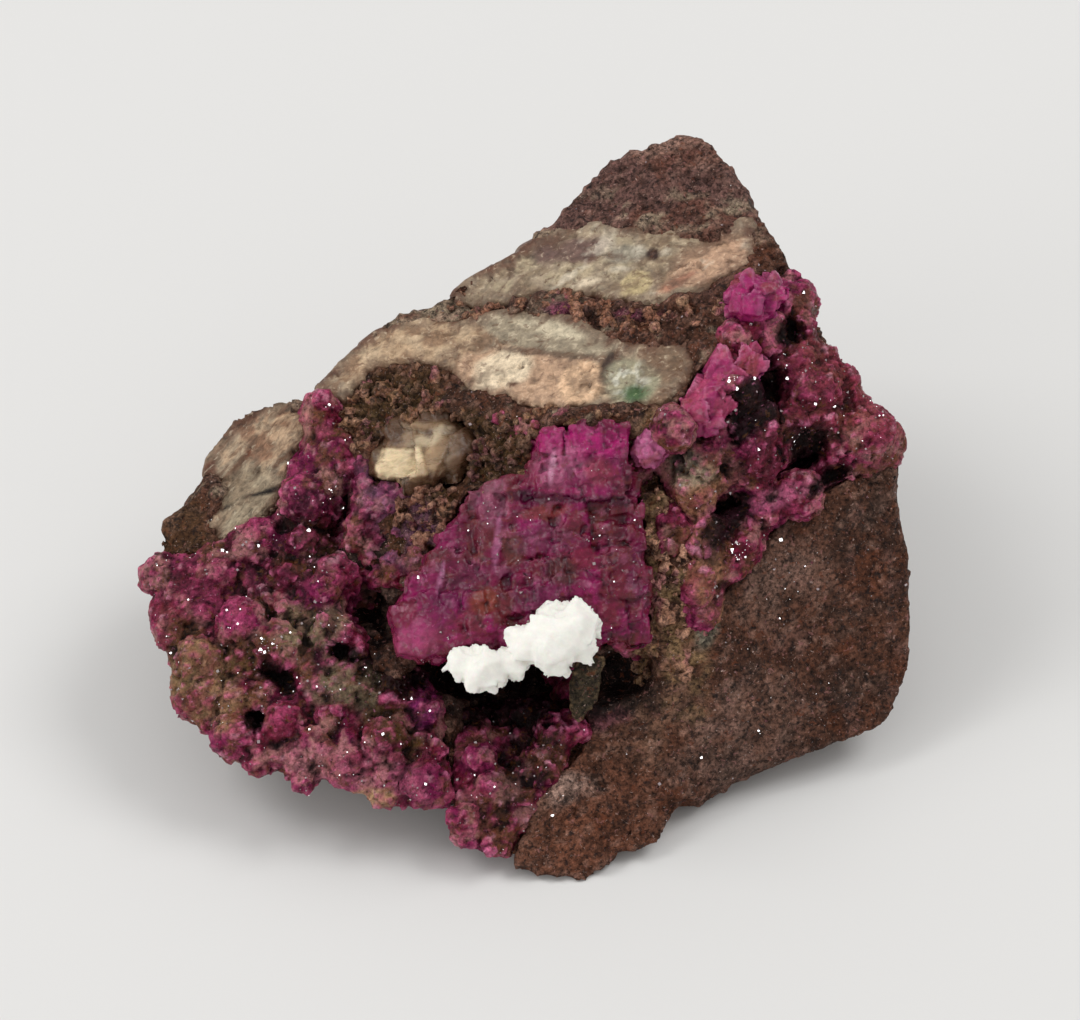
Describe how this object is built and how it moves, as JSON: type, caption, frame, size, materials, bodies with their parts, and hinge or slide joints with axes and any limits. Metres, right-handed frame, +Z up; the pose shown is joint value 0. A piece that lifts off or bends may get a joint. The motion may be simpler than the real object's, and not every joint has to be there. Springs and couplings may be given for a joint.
{
  "type": "cobaltoan calcite on matrix",
  "caption": "Broken block of brown matrix rock with pale veins, pink druse-lined hollows and a large magenta calcite crystal, resting on a flat break.",
  "frame": {"origin": "middle of the bounding box, on the resting plane", "axes": "+Z up, -Y towards the crystal side, +X to the right as the crystal side is looked at"},
  "size_m": [0.077, 0.0674, 0.0435],
  "materials": {
    "brown_rock": "granular, matt, reddish brown",
    "pale_calcite": "fibrous to cleaved, satin, grey-cream",
    "pink_druse": "sparkling crystal crust, raspberry pink",
    "magenta_calcite": "vitreous, translucent, magenta",
    "dark_sliver": "matt, dark grey-brown",
    "white_mineral": "chalky, matt, white"
  },
  "bodies": {
    "root": {"matrix": "brown_rock", "upper_vein": "pale_calcite", "lower_vein": "pale_calcite", "left_vein": "pale_calcite", "cleavage_spar": "pale_calcite", "left_druse": "pink_druse", "lower_druse": "pink_druse", "seam_druse": "pink_druse", "large_crystal": "magenta_calcite", "long_crystal": "magenta_calcite", "purple_crystal": "magenta_calcite", "upper_crystal": "magenta_calcite", "small_crystal": "magenta_calcite", "grey_sliver": "dark_sliver", "white_cluster": "white_mineral"}
  },
  "joints": []
}
